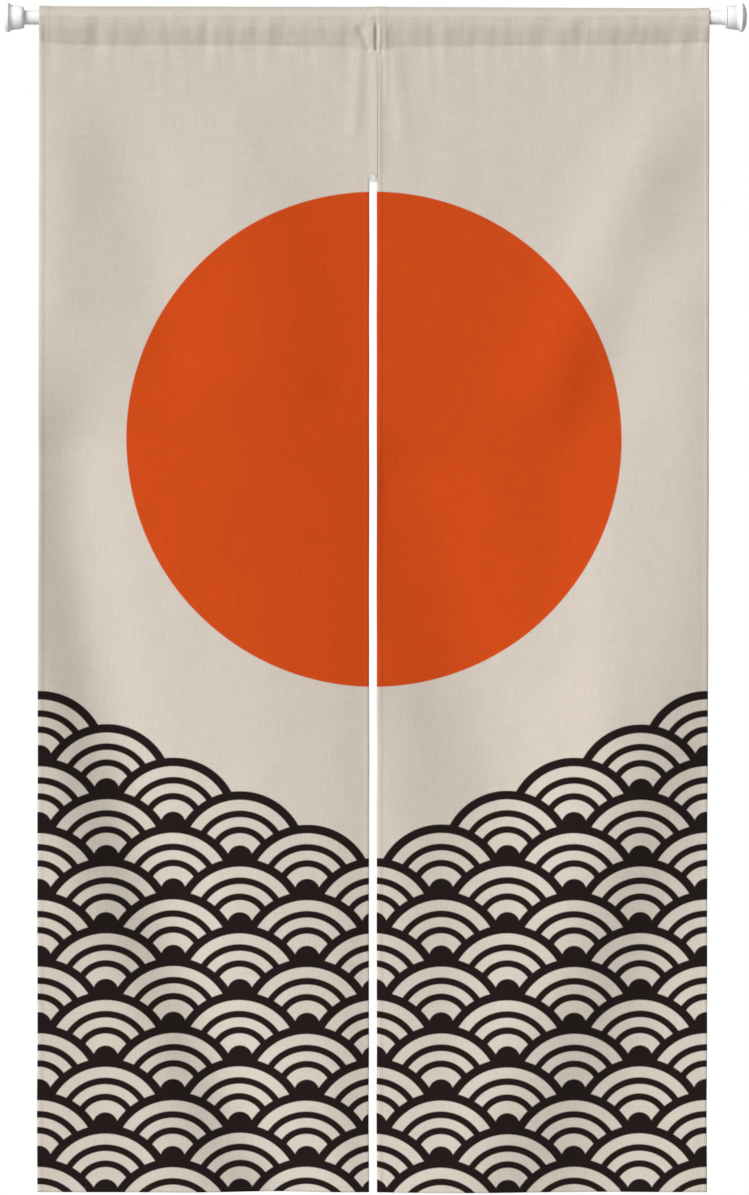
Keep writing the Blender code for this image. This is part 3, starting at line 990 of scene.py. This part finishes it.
def unit(vectors):
    return vectors / np.linalg.norm(vectors, axis=-1, keepdims=True)


def outward_of(sheet, side):
    """The direction in which the cloth's face looks at each of its points."""
    across = np.gradient(sheet.places, axis=1)
    down = np.gradient(sheet.places, axis=0)
    return unit(np.cross(down, across)) * side


def running_stitches(line, outward):
    """Stitches one after another along a line of points on the cloth."""
    steps = np.linalg.norm(np.diff(line, axis=0), axis=1)
    gone = np.concatenate([[0.0], np.cumsum(steps)])
    count = int(gone[-1] / STITCH_PITCH)
    middles = (np.arange(count) + 0.5) * gone[-1] / count

    def at(values, where):
        return np.stack([np.interp(where, gone, values[:, axis]) for axis in range(3)], axis=-1)

    along = at(line, middles + STITCH_LENGTH / 2) - at(line, middles - STITCH_LENGTH / 2)
    out = unit(at(outward, middles))
    raised = at(line, middles) + out * (CLOTH_THICK / 2)
    return Stitches(raised, unit(along), out, STITCH_LENGTH, THREAD_RADIUS)


def bar_tack(y, out):
    """Stitches across the top of the slit, close together, on one side of the cloth."""
    count = int((TACK_TOP - TACK_LOW) / TACK_PITCH)
    z = np.linspace(TACK_TOP, TACK_LOW, count)
    uneven = TACK_UNEVEN * np.sin(np.arange(count) * 2.4)
    middles = np.stack([(TACK_ENDS[0] + TACK_ENDS[1]) / 2 + uneven, y + 0.0 * z, z], axis=-1)
    along = np.stack([1.0 + 0.0 * z, 0.0 * z, TACK_SLANT * (-1.0) ** np.arange(count)], axis=-1)
    outward = np.stack([0.0 * z, out + 0.0 * z, 0.0 * z], axis=-1)
    return Stitches(middles, unit(along), outward, TACK_ENDS[1] - TACK_ENDS[0], TACK_RADIUS)


def panel_stitches(sheet, side):
    """The runs of one panel: pocket, foot and side hems, each on both sides of the cloth."""
    out = outward_of(sheet, side)
    runs = []

    def run(rows, columns):
        runs.append(running_stitches(sheet.places[rows, columns], out[rows, columns]))

    inside = slice(len(STRIP_PLACES) + len(TURN_ANGLES), -len(STRIP_PLACES) - len(TURN_ANGLES))
    for row in sheet.pocket_rows + sheet.foot_rows:
        run(row, inside)
    below_pocket = slice(sheet.pocket_rows[1] + 1, sheet.foot_rows[1])
    below_tack = slice(int(np.argmax(sheet.places[:, -1, 2] < TACK_LOW)), sheet.foot_rows[1])
    for index, column in enumerate(sheet.columns):
        if column.inward == HEM_STITCH:
            run(below_tack if column.share == 1.0 else below_pocket, index)
    return runs


def sewn(name, runs, thread):
    """One mesh of all the stitches in some runs."""
    points, faces = bead_model()
    placed = []
    for run in runs:
        across = np.cross(run.outward, run.along)
        stitches = run.middles[:, None, :]
        for axis, direction, reach in (
            (0, run.along, run.length / 2),
            (1, across, run.radius),
            (2, run.outward, run.radius),
        ):
            stitches = stitches + points[None, :, axis, None] * direction[:, None, :] * reach
        placed.append(stitches.reshape(-1, 3))
    placed = np.concatenate(placed) + np.array((MIDDLE, 0.0, 0.0))
    all_faces = []
    for first in range(0, len(placed), len(points)):
        all_faces += [[first + corner for corner in face] for face in faces]
    data = bpy.data.meshes.new(name)
    data.from_pydata(placed, [], all_faces)
    piece = bpy.data.objects.new(name, data)
    bpy.context.collection.objects.link(piece)
    data.shade_smooth()
    data.materials.append(thread)
    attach(piece, "root")
    return piece


left_runs = panel_stitches(left_sheet, 1.0)
right_runs = panel_stitches(right_sheet, -1.0)
seam_column = max(i for i, column in enumerate(right_sheet.columns) if column.inward == SEAM_STITCH)
seam_places = right_sheet.places[:, seam_column]
in_seam = np.arange(len(seam_places)) > right_sheet.pocket_rows[1] - STRAIGHT_STEPS
in_seam &= seam_places[:, 2] > TACK_LOW
seam_outward = outward_of(right_sheet, -1.0)[in_seam, seam_column]
right_runs.append(running_stitches(seam_places[in_seam], seam_outward))
tack_y = float(np.interp(-TACK_TOP, -seam_places[in_seam, 2], seam_places[in_seam, 1]))
tack_runs = [bar_tack(tack_y - LAYER, -1.0), bar_tack(tack_y + LAYER * 2, 1.0)]
left_stitching = sewn("stitching_left", left_runs, SEWING_THREAD)
right_stitching = sewn("stitching_right", right_runs, SEWING_THREAD)
tack = sewn("bar_tack", tack_runs, TACK_THREAD)


# Floor, light and camera: a pale floor well below the curtain, one broad soft light from the upper
# left in front, an even white surround, and a long lens square to the curtain's middle.
FLOOR_Z = -2.30
FLOOR_RADIUS = 1.6
PHOTO_SCALE = 0.00127246  # metres of the curtain's plane for each pixel of the photograph
PHOTO_HEIGHT = 1195
DISTANCE = 7.0
SENSOR = 36.0
VIEW_X = -0.0004  # the lens, from the curtain's middle
VIEW_Z = -0.738
LIGHT_SIDE = -1.12
LIGHT_UP = 0.54
LIGHT_STRENGTH = 3.42
LIGHT_SPREAD = 40.0
SURROUND = 0.32

bpy.ops.object.select_all(action="DESELECT")
bpy.ops.mesh.primitive_circle_add(
    vertices=96,
    radius=FLOOR_RADIUS,
    fill_type="NGON",
    location=(MIDDLE, 0.0, FLOOR_Z),
)
floor = bpy.context.object
floor.name = "floor"
floor_paint, tree, shader, bump = finish_named("pale_floor", 0.8, 0.2)
place = tree.nodes.new("ShaderNodeTexCoord").outputs["Object"]
worn = noise_value(tree, place, 6.0, 4.0)
floor_colour = blended_colour(tree, worn, (0.80, 0.79, 0.77), (0.84, 0.83, 0.81))
tree.links.new(floor_colour, shader.inputs["Base Color"])
tree.links.new(noise_value(tree, place, 180.0), bump.inputs["Height"])
bump.inputs["Distance"].default_value = 0.0002
floor.data.materials.append(floor_paint)

sun = bpy.data.lights.new("window_light", "SUN")
sun.energy = LIGHT_STRENGTH
sun.angle = math.radians(LIGHT_SPREAD)
lamp = bpy.data.objects.new("window_light", sun)
lamp.rotation_euler = Vector((LIGHT_SIDE, -1.0, LIGHT_UP)).to_track_quat("Z", "Y").to_euler()
bpy.context.collection.objects.link(lamp)

surround = bpy.data.worlds.new("white_surround")
surround.use_nodes = True
bpy.context.scene.world = surround
tree = surround.node_tree
seen = tree.nodes.new("ShaderNodeLightPath").outputs["Is Camera Ray"]
strength = maths(tree, "MULTIPLY_ADD", seen, 1.0 - SURROUND, SURROUND)
tree.links.new(strength, tree.nodes["Background"].inputs["Strength"])
tree.nodes["Background"].inputs["Color"].default_value = (1.0, 1.0, 1.0, 1.0)

lens = bpy.data.cameras.new("photo_view")
lens.lens = SENSOR * DISTANCE / (PHOTO_HEIGHT * PHOTO_SCALE)
lens.sensor_width = SENSOR
lens.clip_end = 100.0
camera = bpy.data.objects.new("photo_view", lens)
camera.location = (MIDDLE + VIEW_X, -DISTANCE, VIEW_Z)
camera.rotation_euler = (math.pi / 2, 0.0, 0.0)
bpy.context.collection.objects.link(camera)
bpy.context.scene.camera = camera
bpy.context.scene.view_settings.view_transform = "Standard"
